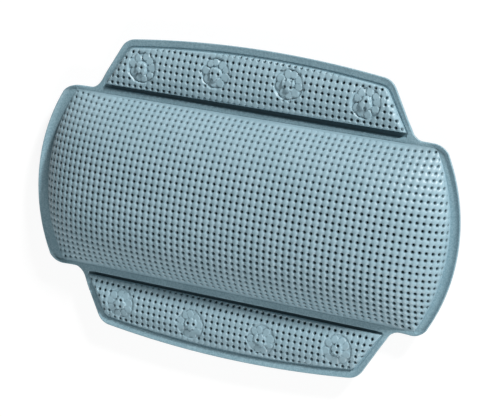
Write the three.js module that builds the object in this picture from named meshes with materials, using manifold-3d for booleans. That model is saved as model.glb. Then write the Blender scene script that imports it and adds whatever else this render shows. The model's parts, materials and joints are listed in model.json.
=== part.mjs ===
// Bath pillow: a domed foam bolster with a padded flap along each long side. Every panel is a foam filling
// between a front and a back sheet of vinyl, welded together round the border. Eight suction cups are caught
// in the flaps under round weld spots, and each flap folds along the weld channel beside the bolster.
// Millimetres. X runs along the bolster, +Y towards the upper flap and +Z out of the front. The cup rims and
// the flat of the bolster's back lie in the plane z = 0.

import * as THREE from 'three';
import { mergeVertices } from 'three/addons/utils/BufferGeometryUtils.js';
import Module from 'manifold-3d';

const wasm = await Module();
wasm.setup();

// Outline
const PILLOW_LENGTH = 356; // tip to tip over the bulged ends of the bolster
const END_ARC_RADIUS = 145; // of each bolster end, seen from the front
const BOLSTER_CORNER_RADIUS = 9;
const HINGE_SPACING = 148.6; // between the two fold lines
const FLAP_SIDE_ANGLE = 28.6; // degrees by which a flap's sloping sides lean in
const FLAP_EDGE_RADIUS = 836; // of a flap's bowed outer edge
const FLAP_CORNER_RADIUS = 11;
const END_BORDER = 8; // smooth welded border at the bolster's ends
const FLAP_BORDER = 7.5; // smooth welded border round a flap

// Sheets and weld channel
const SHEET = 1.4; // back sheet
const COVER = 1.3; // embossed front sheet
const WELD_GAP = 0.3; // between pieces that lie on each other
const CHANNEL_HALF_WIDTH = 2.4; // fold line to the edge of a front sheet
const BOLSTER_SEAM = 1.6; // weld strip between the channel and the bolster's padding
const FLAP_SEAM = 2.6; // weld strip between the channel and a flap's padding
const FOLD_CLEARANCE = 0.4; // round the rounded nose that a flap turns about

// Padding
const BOLSTER_CROWN = 30; // rise of the bolster's dome over its border
const ACROSS_POWER = 2.9; // how flat the dome's top is across the bolster
const ACROSS_ROUNDNESS = 0.95; // how steeply the dome meets its border, lower being steeper
const ALONG_POWER = 4; // and along it
const ALONG_ROUNDNESS = 0.52;
const BACK_RUN_ACROSS = 26; // width of the rounded margin of the bolster's back
const BACK_RUN_ALONG = 40; // and at its ends
const PAD_RISE = 5; // flap padding over its border
const PAD_EDGE_RADIUS = 5; // rounded margin of the flap padding

// Weld spots and suction cups
const SPOT_COUNT = 4; // in the row along each flap
const SPOT_PITCH = 62.6;
const SPOT_TO_FOLD_SIDE = 2.4; // padding left between the outermost spots and the fold side of the pad
const SPOT_TO_SIDE = 6; // between them and the pad's sloping sides
const SPOT_TO_EDGE = 0.8; // and between every spot and the pad's bowed edge
const SPOT_DOME_MARGIN = 1.4; // raised middle of a weld spot, beyond the cup's head under it
const SPOT_DOME_HEADROOM = 1.2; // and above it
const SPOT_DOME_FLANK = 2; // from the raised middle down to the welded ring
const WELD_RING_WIDTH = 3;
const SPOT_FLANK = 3; // from the welded ring up to the padding
const CUP_RIM_RADIUS = 15;
const CUP_LAND = 2; // flat width of the rim
const CUP_HEIGHT = 8.7; // rim to the shoulder behind the flap
const CUP_HOLLOW = 3.6;
const CUP_SHOULDER_RADIUS = 5;
const CUP_NECK_RADIUS = 3;
const CUP_HEAD_RADIUS = 4.6;
const CUP_HEAD_HEIGHT = 2;
const CUP_SEGMENTS = 18;
const CURVE_SEGMENTS = 8; // in each curved stretch of a sheet's outline
const MERGE_DISTANCE = 1e-4; // between corners that are the same point

// Levels and lines that follow from these
const FOLD_Y = HINGE_SPACING / 2;
const NOSE_RADIUS = SHEET / 2;
const BACK_Z = CUP_HEIGHT + WELD_GAP;
const BACK_TOP = BACK_Z + SHEET;
const FRONT_BASE = BACK_TOP + WELD_GAP;
const BORDER_TOP = FRONT_BASE + COVER;
const FOLD_Z = BACK_Z + NOSE_RADIUS;
const BOLSTER_FRONT_EDGE = FOLD_Y - CHANNEL_HALF_WIDTH;
const BOLSTER_PAD_EDGE = BOLSTER_FRONT_EDGE - BOLSTER_SEAM;
const FLAP_FRONT_EDGE = FOLD_Y + CHANNEL_HALF_WIDTH;
const FLAP_PAD_EDGE = FLAP_FRONT_EDGE + FLAP_SEAM;
const SIDE_SLOPE = Math.tan(THREE.MathUtils.degToRad(FLAP_SIDE_ANGLE));
const SIDE_STRETCH = Math.hypot(1, SIDE_SLOPE);
const SIDE_BORDER = FLAP_BORDER * SIDE_STRETCH;
const SPOT_DOME_RADIUS = CUP_HEAD_RADIUS + SPOT_DOME_MARGIN;
const SPOT_DOME_RISE = CUP_HEAD_HEIGHT + SPOT_DOME_HEADROOM;
const SPOT_GROOVE_INNER = SPOT_DOME_RADIUS + SPOT_DOME_FLANK;
const SPOT_GROOVE_OUTER = SPOT_GROOVE_INNER + WELD_RING_WIDTH;
const SPOT_RIM_RADIUS = SPOT_GROOVE_OUTER + SPOT_FLANK;
const SPOT_INSET = FLAP_BORDER + SPOT_TO_EDGE + SPOT_RIM_RADIUS;
const PAD_SHOULDER = 0.9 * SPOT_TO_FOLD_SIDE; // pad edge to the shoulder of its rounded margin
const FOAM_MARGIN = SPOT_TO_FOLD_SIDE + WELD_GAP;
const OUTER_SPOT = ((SPOT_COUNT - 1) * SPOT_PITCH) / 2;
const OUTER_SPOT_Y = FLAP_PAD_EDGE + SPOT_TO_FOLD_SIDE + SPOT_RIM_RADIUS;
const SPOT_ROW_HALF_LENGTH = OUTER_SPOT + SPOT_RIM_RADIUS + SPOT_TO_SIDE + SIDE_BORDER;

// Colours of the pieces
const vinyl = (color, roughness) => new THREE.MeshStandardMaterial({ color, roughness, metalness: 0 });
const COVER_FINISH = vinyl(0x8fa9b4, 0.55);
const BACK_FINISH = vinyl(0x7f9aa6, 0.5);
const FOAM_FINISH = vinyl(0xe6dfc8, 0.95);
const CUP_FINISH = vinyl(0xc3d2d6, 0.25);

function namedMesh(name, geometry, material) {
  const mesh = new THREE.Mesh(geometry, material);
  mesh.name = name;
  return mesh;
}

// A geometry with its shared corners merged and its collapsed triangles dropped, as a solid for cutting.
function solidOf(geometry) {
  const bare = geometry.clone();
  bare.deleteAttribute('normal');
  bare.deleteAttribute('uv');
  const merged = mergeVertices(bare, MERGE_DISTANCE);
  const corners = merged.index.array;
  const kept = [];
  for (let i = 0; i < corners.length; i += 3) {
    const [a, b, c] = corners.slice(i, i + 3);
    if (a !== b && b !== c && c !== a) kept.push(a, b, c);
  }
  const vertProperties = new Float32Array(merged.attributes.position.array);
  const triVerts = new Uint32Array(kept);
  return new wasm.Manifold(new wasm.Mesh({ numProp: 3, vertProperties, triVerts }));
}

function geometryOf(solid) {
  const mesh = solid.getMesh();
  const geometry = new THREE.BufferGeometry();
  geometry.setAttribute('position', new THREE.BufferAttribute(new Float32Array(mesh.vertProperties), 3));
  geometry.setIndex(new THREE.BufferAttribute(new Uint32Array(mesh.triVerts), 1));
  return geometry;
}

// A closed body between two grids of points with the same rows and columns. The rows run towards +Y and the
// columns towards +X, and a wall one facet high closes the body round their edges.
function bodyBetween(upper, lower) {
  const rows = upper.length;
  const columns = upper[0].length;
  const points = [...upper.flat(), ...lower.flat()];
  const above = (row, column) => row * columns + column;
  const below = (row, column) => (rows + row) * columns + column;
  const index = [];
  const quad = (a, b, c, d) => {
    const alongFirst = points[a].distanceTo(points[c]) <= points[b].distanceTo(points[d]);
    index.push(...(alongFirst ? [a, b, c, a, c, d] : [a, b, d, b, c, d]));
  };
  for (let row = 0; row < rows - 1; row += 1) {
    for (let column = 0; column < columns - 1; column += 1) {
      const [r, c] = [row + 1, column + 1];
      quad(above(row, column), above(row, c), above(r, c), above(r, column));
      quad(below(row, column), below(r, column), below(r, c), below(row, c));
    }
  }
  const rim = [];
  for (let column = 0; column < columns - 1; column += 1) rim.push([0, column]);
  for (let row = 0; row < rows - 1; row += 1) rim.push([row, columns - 1]);
  for (let column = columns - 1; column > 0; column -= 1) rim.push([rows - 1, column]);
  for (let row = rows - 1; row > 0; row -= 1) rim.push([row, 0]);
  rim.forEach((here, i) => {
    const next = rim[(i + 1) % rim.length];
    quad(below(...here), below(...next), above(...next), above(...here));
  });
  const geometry = new THREE.BufferGeometry();
  geometry.setAttribute('position', new THREE.Float32BufferAttribute(points.flatMap((p) => p.toArray()), 3));
  geometry.setIndex(index);
  return geometry;
}

// A round bar along X through the fold line.
function foldBar(radius, length, y) {
  const BAR_SEGMENTS = 16;
  const bar = new THREE.CylinderGeometry(radius, radius, length, BAR_SEGMENTS);
  bar.rotateZ(Math.PI / 2);
  bar.translate(0, y, FOLD_Z);
  return solidOf(bar);
}

// Upright round cutter centred on a weld spot, which may widen towards the front.
function spotCutter(spot, bottomRadius, topRadius, bottom, top) {
  const CUTTER_SEGMENTS = 20;
  const cutter = new THREE.CylinderGeometry(topRadius, bottomRadius, top - bottom, CUTTER_SEGMENTS);
  cutter.rotateX(Math.PI / 2);
  cutter.translate(spot.x, spot.y, (top + bottom) / 2);
  return solidOf(cutter);
}

// Bolster

const endArc = (y) => PILLOW_LENGTH / 2 - END_ARC_RADIUS + Math.sqrt(END_ARC_RADIUS ** 2 - y ** 2);
const padEnd = (y) => endArc(y) - END_BORDER;

// How much a round corner takes off the outline at a distance from the edge that it runs into.
function cornerCut(radius, distance) {
  const reach = Math.max(0, radius - distance);
  return radius - Math.sqrt(radius ** 2 - reach ** 2);
}

const bolsterEnd = (y) => endArc(y) - cornerCut(BOLSTER_CORNER_RADIUS, FOLD_Y + NOSE_RADIUS - Math.abs(y));

// Stations from -1 to 1 that gather towards the ends, where the padding is steepest.
function gatheredStations(halfCount) {
  const stations = [];
  for (let i = -halfCount; i <= halfCount; i += 1) stations.push(Math.sin((i / halfCount) * (Math.PI / 2)));
  return stations;
}

const ALONG_STATIONS = gatheredStations(9);
const ACROSS_STATIONS = gatheredStations(7);

// The dome's height as a share of its crown, at shares of the padding's half-length and half-width.
function domeShare(along, across) {
  const lengthwise = Math.max(0, 1 - Math.abs(along) ** ALONG_POWER) ** ALONG_ROUNDNESS;
  const crosswise = Math.max(0, 1 - Math.abs(across) ** ACROSS_POWER) ** ACROSS_ROUNDNESS;
  return lengthwise * crosswise;
}

const easeIn = (share) => Math.sin((Math.min(1, Math.max(0, share)) * Math.PI) / 2);

// Height of the bolster's back: at the border's level round the edge, and flat at z = 0 in the middle.
function bolsterBackAt(x, y) {
  const across = easeIn((BOLSTER_PAD_EDGE - Math.abs(y)) / BACK_RUN_ACROSS);
  const along = easeIn((padEnd(y) - Math.abs(x)) / BACK_RUN_ALONG);
  return BACK_Z * (1 - across * along);
}

// Grid over the bolster's padding, drawn in from its outline by an inset.
function bolsterPadding(inset, heightAt) {
  return ACROSS_STATIONS.map((across) => {
    const y = across * (BOLSTER_PAD_EDGE - inset);
    return ALONG_STATIONS.map((along) => {
      const x = along * (padEnd(y) - inset);
      return new THREE.Vector3(x, y, heightAt(x, y, along, across));
    });
  });
}

// The same grid with the flat welded border added all round, out to a line beside the fold.
function withBorder(padding, edgeY, borderZ) {
  const sideRow = (y, row) => row.map((point) => new THREE.Vector3(point.x, y, borderZ));
  const rows = [sideRow(-edgeY, padding[0]), ...padding, sideRow(edgeY, padding.at(-1))];
  return rows.map((row) => {
    const y = row[0].y;
    const end = bolsterEnd(y);
    return [new THREE.Vector3(-end, y, borderZ), ...row, new THREE.Vector3(end, y, borderZ)];
  });
}

// Height of the dome over a level, at a point of the padding's grid.
const domeOver = (level) => (x, y, along, across) => level + BOLSTER_CROWN * domeShare(along, across);

function bolsterFrontCover() {
  const outside = bolsterPadding(0, domeOver(BORDER_TOP));
  const inside = bolsterPadding(COVER, domeOver(FRONT_BASE));
  const upper = withBorder(outside, BOLSTER_FRONT_EDGE, BORDER_TOP);
  const lower = withBorder(inside, BOLSTER_FRONT_EDGE, FRONT_BASE);
  return bodyBetween(upper, lower);
}

// The back sheet ends in a rounded nose along each fold line.
function bolsterBackCover() {
  const upper = withBorder(bolsterPadding(0, (x, y) => bolsterBackAt(x, y) + SHEET), FOLD_Y, BACK_TOP);
  const lower = withBorder(bolsterPadding(0, bolsterBackAt), FOLD_Y, BACK_Z);
  const noseLength = 2 * bolsterEnd(FOLD_Y);
  let solid = solidOf(bodyBetween(upper, lower));
  for (const y of [-FOLD_Y, FOLD_Y]) solid = solid.add(foldBar(NOSE_RADIUS, noseLength, y));
  return geometryOf(solid);
}

function bolsterFoamCore() {
  const inset = COVER + WELD_GAP;
  const upper = bolsterPadding(inset, domeOver(FRONT_BASE - WELD_GAP));
  const lower = bolsterPadding(inset, (x, y) => bolsterBackAt(x, y) + SHEET + WELD_GAP);
  return bodyBetween(upper, lower);
}

// Flaps, modelled on the +Y side

const edgeBow = (x) => FLAP_EDGE_RADIUS - Math.sqrt(FLAP_EDGE_RADIUS ** 2 - x ** 2);
const flapSide = (y) => SPOT_ROW_HALF_LENGTH - SIDE_SLOPE * (y - OUTER_SPOT_Y);
const flapEdge = (x) => OUTER_SPOT_Y + SPOT_INSET + edgeBow(OUTER_SPOT) - edgeBow(x);
const spotLine = (x) => flapEdge(x) - SPOT_INSET;

// A point of the flap's grid: a column, named by its place on the row of weld spots, at a height y. Columns
// lean with the flap's sloping sides and draw in round its outer corners.
function flapPoint(column, y) {
  const toEdge = flapEdge(column) - y;
  const halfLength = flapSide(y) - cornerCut(FLAP_CORNER_RADIUS, toEdge);
  return new THREE.Vector2((column * halfLength) / SPOT_ROW_HALF_LENGTH, y);
}

const SPOT_COLUMNS = Array.from({ length: SPOT_COUNT }, (_, i) => i * SPOT_PITCH - OUTER_SPOT);
const SPOTS = SPOT_COLUMNS.map((column) => flapPoint(column, spotLine(column)));

const SPOT_RINGS = [SPOT_DOME_RADIUS, SPOT_GROOVE_INNER, SPOT_GROOVE_OUTER, SPOT_RIM_RADIUS];
const RING_OFFSETS = [...SPOT_RINGS.map((radius) => -radius).reverse(), ...SPOT_RINGS];

function edgeShare(distance) {
  const inside = Math.min(1, Math.max(0, distance / PAD_EDGE_RADIUS));
  return Math.sqrt(1 - (1 - inside) ** 2);
}

// Height of the plain padding over the border, rounded down along all four sides.
function padRise(x, y) {
  const fromFold = edgeShare(y - FLAP_PAD_EDGE);
  const fromSide = edgeShare((flapSide(y) - SIDE_BORDER - Math.abs(x)) / SIDE_STRETCH);
  const fromEdge = edgeShare(flapEdge(x) - FLAP_BORDER - y);
  return PAD_RISE * fromFold * fromSide * fromEdge;
}

// The flap's grid. Each square ring of grid points round a weld spot is drawn into a circle.
function flapGrid(baseZ) {
  const padSide = SPOT_ROW_HALF_LENGTH - SIDE_BORDER;
  const right = [padSide - PAD_SHOULDER * SIDE_STRETCH, padSide, SPOT_ROW_HALF_LENGTH];
  const left = right.map((column) => -column);
  const ringColumns = SPOT_COLUMNS.flatMap((spot) => [0, ...RING_OFFSETS].map((offset) => spot + offset));
  const columns = [...left, ...ringColumns, ...right].sort((a, b) => a - b);
  const foldSideLine = (x) => spotLine(Math.min(Math.abs(x), OUTER_SPOT));
  const BORDER_STEPS = [1, 0.3, 0]; // shares of the border's width still to go to the edge
  const rows = [
    { at: () => FLAP_FRONT_EDGE },
    { at: () => FLAP_PAD_EDGE },
    { at: () => FLAP_PAD_EDGE + PAD_SHOULDER },
    ...RING_OFFSETS.map((offset) => {
      const line = offset < 0 ? foldSideLine : spotLine;
      return { at: (x) => line(x) + offset, offset };
    }),
    ...BORDER_STEPS.map((step) => ({ at: (x) => flapEdge(x) - step * FLAP_BORDER })),
  ];
  return rows.map((row) => columns.map((column) => {
    const nearest = SPOT_COLUMNS.reduce((a, b) => (Math.abs(column - b) < Math.abs(column - a) ? b : a));
    const along = column - nearest;
    const ring = row.offset === undefined ? Infinity : Math.max(Math.abs(along), Math.abs(row.offset));
    const plain = flapPoint(column, row.at(column));
    if (ring > SPOT_RIM_RADIUS + WELD_GAP) {
      return new THREE.Vector3(plain.x, plain.y, baseZ + padRise(plain.x, plain.y));
    }
    const spot = flapPoint(nearest, spotLine(nearest));
    const shrink = ring / Math.hypot(along, row.offset);
    const x = spot.x + along * shrink;
    const y = spot.y + row.offset * shrink;
    const weldedRise = ring > SPOT_DOME_RADIUS ? 0 : SPOT_DOME_RISE;
    const rise = ring > SPOT_GROOVE_OUTER ? padRise(x, y) : weldedRise;
    return new THREE.Vector3(x, y, baseZ + rise);
  }));
}

const flapFrontCover = () => bodyBetween(flapGrid(BORDER_TOP), flapGrid(FRONT_BASE));

// The corner where a sloping side, drawn in by an inset, meets the bowed outer edge.
function flapCorner(sideInset, edgeInset) {
  const CLOSING_STEPS = 30;
  const corner = new THREE.Vector2(0, flapEdge(0) - edgeInset);
  for (let step = 0; step < CLOSING_STEPS; step += 1) {
    corner.x = flapSide(corner.y) - sideInset;
    corner.y = flapEdge(corner.x) - edgeInset;
  }
  return corner;
}

// Outline of the flap's back sheet, from the fold line to the bowed outer edge.
function flapOutline() {
  const corner = flapCorner(0, 0);
  const sideY = corner.y - FLAP_CORNER_RADIUS;
  const sideStart = new THREE.Vector2(flapSide(sideY), sideY);
  const edgeX = corner.x - FLAP_CORNER_RADIUS;
  const edgeStart = new THREE.Vector2(edgeX, flapEdge(edgeX));
  const bow = 2 * flapEdge(0) - edgeStart.y;
  const shape = new THREE.Shape();
  shape.moveTo(-flapSide(FOLD_Y), FOLD_Y);
  shape.lineTo(flapSide(FOLD_Y), FOLD_Y);
  shape.lineTo(sideStart.x, sideStart.y);
  shape.quadraticCurveTo(corner.x, corner.y, edgeStart.x, edgeStart.y);
  shape.quadraticCurveTo(0, bow, -edgeStart.x, edgeStart.y);
  shape.quadraticCurveTo(-corner.x, corner.y, -sideStart.x, sideStart.y);
  shape.closePath();
  return shape;
}

function plate(shape, bottom, top) {
  const options = { depth: top - bottom, bevelEnabled: false, curveSegments: CURVE_SEGMENTS };
  const geometry = new THREE.ExtrudeGeometry(shape, options);
  geometry.translate(0, 0, bottom);
  return solidOf(geometry);
}

// The back sheet is scooped out along the fold to turn about the bolster's nose, with a hole for each cup.
function flapBackCover() {
  let solid = plate(flapOutline(), BACK_Z, BACK_TOP);
  solid = solid.subtract(foldBar(NOSE_RADIUS + FOLD_CLEARANCE, PILLOW_LENGTH, FOLD_Y));
  const hole = CUP_NECK_RADIUS + WELD_GAP;
  for (const spot of SPOTS) {
    solid = solid.subtract(spotCutter(spot, hole, hole, BACK_Z - SHEET, BACK_TOP + SHEET));
  }
  return geometryOf(solid);
}

// The foam sheet inside a flap, with a flared round clearance at each weld spot.
function flapFoamPad() {
  const sideInset = SIDE_BORDER + FOAM_MARGIN * SIDE_STRETCH;
  const edgeInset = SPOT_INSET - SPOT_GROOVE_OUTER + WELD_GAP;
  const root = FLAP_PAD_EDGE + FOAM_MARGIN;
  const rootHalf = flapSide(root) - sideInset;
  const corner = flapCorner(sideInset, edgeInset);
  const bow = 2 * (flapEdge(0) - edgeInset) - corner.y;
  const shape = new THREE.Shape();
  shape.moveTo(-rootHalf, root);
  shape.lineTo(rootHalf, root);
  shape.lineTo(corner.x, corner.y);
  shape.quadraticCurveTo(0, bow, -corner.x, corner.y);
  shape.closePath();
  const bottom = BACK_TOP + WELD_GAP;
  const top = FRONT_BASE + PAD_RISE * edgeShare(PAD_SHOULDER) - WELD_GAP;
  let solid = plate(shape, bottom, top);
  const narrow = SPOT_GROOVE_OUTER + 2 * WELD_GAP;
  const wide = SPOT_RIM_RADIUS + 2 * WELD_GAP;
  for (const spot of SPOTS) solid = solid.subtract(spotCutter(spot, narrow, wide, bottom, top));
  return geometryOf(solid);
}

// One moulded suction cup: a hollow bell with a flat rim, a neck through the back sheet and a head inside.
function suctionCup() {
  const headBottom = BACK_TOP + WELD_GAP;
  const headTop = headBottom + CUP_HEAD_HEIGHT;
  const landInner = CUP_RIM_RADIUS - CUP_LAND;
  const draft = CUP_LAND / 5; // how far the rim's and the head's edges lean in
  const HOLLOW_TURN = [0.6, 0.68]; // shares of the hollow's radius and depth where its roof turns down
  const LIP_SHARE = 0.1; // shares of the cup's height: its lip,
  const FLANK_TURN = [0.6, 0.53]; // the turn of its flank, as a share of the radius too,
  const BOSS_SHARE = 0.74; // and the foot of the boss under its shoulder
  const profile = [
    [0, CUP_HOLLOW],
    [landInner * HOLLOW_TURN[0], CUP_HOLLOW * HOLLOW_TURN[1]],
    [landInner, 0],
    [CUP_RIM_RADIUS, 0],
    [CUP_RIM_RADIUS - draft, CUP_HEIGHT * LIP_SHARE],
    [CUP_RIM_RADIUS * FLANK_TURN[0], CUP_HEIGHT * FLANK_TURN[1]],
    [CUP_SHOULDER_RADIUS, CUP_HEIGHT * BOSS_SHARE],
    [CUP_SHOULDER_RADIUS, CUP_HEIGHT],
    [CUP_NECK_RADIUS, CUP_HEIGHT],
    [CUP_NECK_RADIUS, headBottom],
    [CUP_HEAD_RADIUS, headBottom],
    [CUP_HEAD_RADIUS - draft, headTop],
    [0, headTop],
  ];
  const points = profile.map(([radius, z]) => new THREE.Vector2(radius, z));
  const geometry = new THREE.LatheGeometry(points, CUP_SEGMENTS);
  geometry.rotateX(Math.PI / 2);
  return geometryOf(solidOf(geometry));
}

function flap(name) {
  const group = new THREE.Group();
  group.add(namedMesh(`${name}_flap_front_cover`, flapFrontCover(), COVER_FINISH));
  group.add(namedMesh(`${name}_flap_back_cover`, flapBackCover(), BACK_FINISH));
  group.add(namedMesh(`${name}_flap_foam_pad`, flapFoamPad(), FOAM_FINISH));
  SPOTS.forEach((spot, i) => {
    const cup = namedMesh(`${name}_suction_cup_${i + 1}`, suctionCup(), CUP_FINISH);
    cup.position.set(spot.x, spot.y, 0);
    group.add(cup);
  });
  return group;
}

const bolster = new THREE.Group();
bolster.add(namedMesh('bolster_front_cover', bolsterFrontCover(), COVER_FINISH));
bolster.add(namedMesh('bolster_back_cover', bolsterBackCover(), BACK_FINISH));
bolster.add(namedMesh('bolster_foam_core', bolsterFoamCore(), FOAM_FINISH));

const upperFlap = flap('upper');
const lowerFlap = flap('lower');
lowerFlap.rotation.z = Math.PI;

const bathPillow = new THREE.Group();
bathPillow.add(bolster, upperFlap, lowerFlap);

export default bathPillow;
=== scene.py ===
# %% [markdown]
# # A padded bath pillow
# The pillow is a domed foam bolster with a padded flap along each long side, all covered in a soft vinyl that
# is embossed like a basket weave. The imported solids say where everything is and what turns; this lesson makes
# what shows: the puffed panels, the embossing, the welds and the finish of the vinyl.

# %% The frame
import json
import math
from functools import partial

import bmesh
import bpy
import numpy as np
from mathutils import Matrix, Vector


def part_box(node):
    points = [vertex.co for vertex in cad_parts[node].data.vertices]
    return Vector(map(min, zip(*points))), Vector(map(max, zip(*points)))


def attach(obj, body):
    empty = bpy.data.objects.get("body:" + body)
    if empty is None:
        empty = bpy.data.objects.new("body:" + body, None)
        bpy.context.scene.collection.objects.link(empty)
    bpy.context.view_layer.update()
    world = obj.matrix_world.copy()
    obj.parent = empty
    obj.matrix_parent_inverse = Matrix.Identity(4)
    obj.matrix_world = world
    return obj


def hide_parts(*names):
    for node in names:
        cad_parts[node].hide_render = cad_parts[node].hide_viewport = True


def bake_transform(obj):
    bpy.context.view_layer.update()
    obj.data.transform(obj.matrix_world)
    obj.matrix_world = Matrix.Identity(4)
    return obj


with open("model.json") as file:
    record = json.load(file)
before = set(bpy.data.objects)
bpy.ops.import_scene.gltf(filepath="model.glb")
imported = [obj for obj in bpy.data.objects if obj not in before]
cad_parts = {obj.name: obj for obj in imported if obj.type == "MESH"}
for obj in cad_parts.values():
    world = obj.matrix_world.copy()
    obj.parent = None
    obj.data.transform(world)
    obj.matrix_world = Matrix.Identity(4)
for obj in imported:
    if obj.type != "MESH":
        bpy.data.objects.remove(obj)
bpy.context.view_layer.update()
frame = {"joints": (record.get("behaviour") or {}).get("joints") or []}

MM = 0.001

# %% [markdown]
# ## Sizes
# Lengths that the solids already hold are read from the frame, so that the visible pillow always sits on
# them. The rest are the few sizes that shape the visible sheet: its borders, corner radii and the cells of
# the weave. Blender works in metres, so sizes written in millimetres are multiplied by MM.

# %% Sizes
front_low, front_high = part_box("bolster_front_cover")
flap_back_low, flap_back_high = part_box("upper_flap_back_cover")
FOLD_Y, FOLD_Z = next(j["pos_m"] for j in frame["joints"] if j["name"] == "upper_flap_fold")[1:]

COVER = 1.3 * MM
WELD_Z = front_low.z
BORDER_TOP = WELD_Z + COVER
BACK_Z, BACK_TOP = flap_back_low.z, flap_back_high.z
HALF_LENGTH = front_high.x
CROWN = front_high.z - BORDER_TOP
BOLSTER_SEAM = 1.6 * MM
PAD_EDGE = front_high.y - BOLSTER_SEAM
END_ARC_RADIUS = 145 * MM
END_BORDER = 8 * MM
FLAP_SIDE_ANGLE = 28.6
SIDE_SLOPE = math.tan(math.radians(FLAP_SIDE_ANGLE))
FLAP_EDGE_RADIUS = 836 * MM
FLAP_REACH = flap_back_high.y
FLAP_BORDER = 7 * MM
FLAP_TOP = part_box("upper_flap_front_cover")[1].z
BORDER_NARROWING = 0.06
print("crown %.1f mm, border at %.1f mm" % (CROWN / MM, BORDER_TOP / MM))

# %% [markdown]
# ## Camera
# The photograph was taken from a little over a metre away, above and to the right of the pillow, with a long
# lens. The camera stands where the pillow's symmetric outline falls on the photographed one, and its roll
# gives the slant of the picture.

# %% Camera
CAMERA_PLACE = Vector((0.5154, 0.2659, 1.2448))
CAMERA_TURN = (-8.775, 23.416, 6.452)
CAMERA_LENS = 126
camera_data = bpy.data.cameras.new("camera")
camera_data.lens = CAMERA_LENS
camera_data.sensor_width = 36
camera_data.dof.use_dof = False
camera = bpy.data.objects.new("camera", camera_data)
bpy.context.scene.collection.objects.link(camera)
bpy.context.scene.camera = camera
camera.location = CAMERA_PLACE
camera.rotation_euler = [math.radians(angle) for angle in CAMERA_TURN]
print("camera %.2f m from the pillow's middle" % CAMERA_PLACE.length)

# %% [markdown]
# ## Helpers
# Graph adds the nodes of a material or of a geometry tree, one line for each step. mesh_object makes an
# object from points and faces, and tidied joins its doubled points and turns its faces outwards.

# %% Helpers
scene = bpy.context.scene


class Graph:
    """Adds nodes to a node tree, one line for each step of the sum that they work out."""

    def __init__(self, tree):
        self.tree = tree

    def plug(self, value, socket):
        if isinstance(value, bpy.types.NodeSocket):
            self.tree.links.new(value, socket)
        else:
            socket.default_value = value

    def add(self, kind, inputs=None, **settings):
        node = self.tree.nodes.new(kind)
        for name, value in settings.items():
            setattr(node, name, value)
        for name, value in (inputs or {}).items():
            self.plug(value, node.inputs[name])
        return node

    def math(self, operation, *values):
        node = self.add("ShaderNodeMath", operation=operation)
        for value, socket in zip(values, node.inputs):
            self.plug(value, socket)
        return node.outputs[0]

    def ease(self, value, start, end, low=0.0, high=1.0):
        node = self.add("ShaderNodeMapRange", interpolation_type="SMOOTHSTEP")
        for each, socket in zip((value, start, end, low, high), node.inputs):
            self.plug(each, socket)
        return node.outputs[0]

    def blend(self, share, first, second):
        node = self.add("ShaderNodeMix", data_type="RGBA")
        for each, socket in zip((share, first, second), (node.inputs[0], node.inputs[6], node.inputs[7])):
            self.plug(each, socket)
        return node.outputs[2]


def add_sockets(tree, way, kind, *names):
    for name in names:
        tree.interface.new_socket(name, in_out=way, socket_type="NodeSocket" + kind)


def mesh_object(name, points, faces, material=None):
    mesh = bpy.data.meshes.new(name)
    mesh.from_pydata([tuple(map(float, p)) for p in points], [], [tuple(map(int, f)) for f in faces])
    if material:
        mesh.materials.append(material)
    obj = bpy.data.objects.new(name, mesh)
    scene.collection.objects.link(obj)
    return obj


def turn_outwards(work):
    bmesh.ops.recalc_face_normals(work, faces=work.faces)
    if work.calc_volume(signed=True) < 0:
        bmesh.ops.reverse_faces(work, faces=work.faces)


def tidied(obj, merge, sharp_angle=None):
    """Joins doubled points, turns the faces outwards and shades smooth, but for sharp edges."""
    work = bmesh.new()
    work.from_mesh(obj.data)
    bmesh.ops.remove_doubles(work, verts=work.verts, dist=merge)
    turn_outwards(work)
    for edge in work.edges:
        if sharp_angle and edge.is_manifold and edge.calc_face_angle() > sharp_angle:
            edge.smooth = False
    work.to_mesh(obj.data)
    work.free()
    obj.data.shade_smooth()
    print(obj.name, len(obj.data.polygons), "faces")
    return obj


print("helpers Graph, mesh_object and tidied")

# %% [markdown]
# ## Light and floor
# A lamp low at the upper right of the picture models the weave: every pit keeps a dark side towards the lamp
# and a bright one away from it. A weaker lamp and a dim pale world fill the shadows. The floor shows white to
# the camera and still takes the pillow's shadow, because only part of what the camera sees there is glow.

# %% Light and floor
WORLD_LEVEL = 0.16
scene.view_settings.view_transform = "Standard"
world = bpy.data.worlds.new("studio")
world.use_nodes = True
backdrop = world.node_tree.nodes["Background"]
backdrop.inputs["Color"].default_value = (0.93, 0.98, 1.0, 1)
backdrop.inputs["Strength"].default_value = WORLD_LEVEL
scene.world = world


def soft_lamp(name, azimuth, elevation, distance, size, level):
    """A square lamp that looks at the pillow; level 1 lights white paper that faces it to white."""
    data = bpy.data.lights.new(name, "AREA")
    data.size = size
    data.energy = math.pi**2 * distance**2 * level
    lamp = bpy.data.objects.new(name, data)
    scene.collection.objects.link(lamp)
    turn, rise = math.radians(azimuth), math.radians(elevation)
    way = Vector((math.cos(turn) * math.cos(rise), math.sin(turn) * math.cos(rise), math.sin(rise)))
    lamp.location = way * distance
    lamp.rotation_euler = (-way).to_track_quat("-Z", "Y").to_euler()


soft_lamp("key_lamp", azimuth=54, elevation=22, distance=6.0, size=0.84, level=1.2)
soft_lamp("fill_lamp", azimuth=292, elevation=32, distance=1.7, size=0.8, level=0.5)
print("lamps", [lamp.name for lamp in bpy.data.lights])

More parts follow.
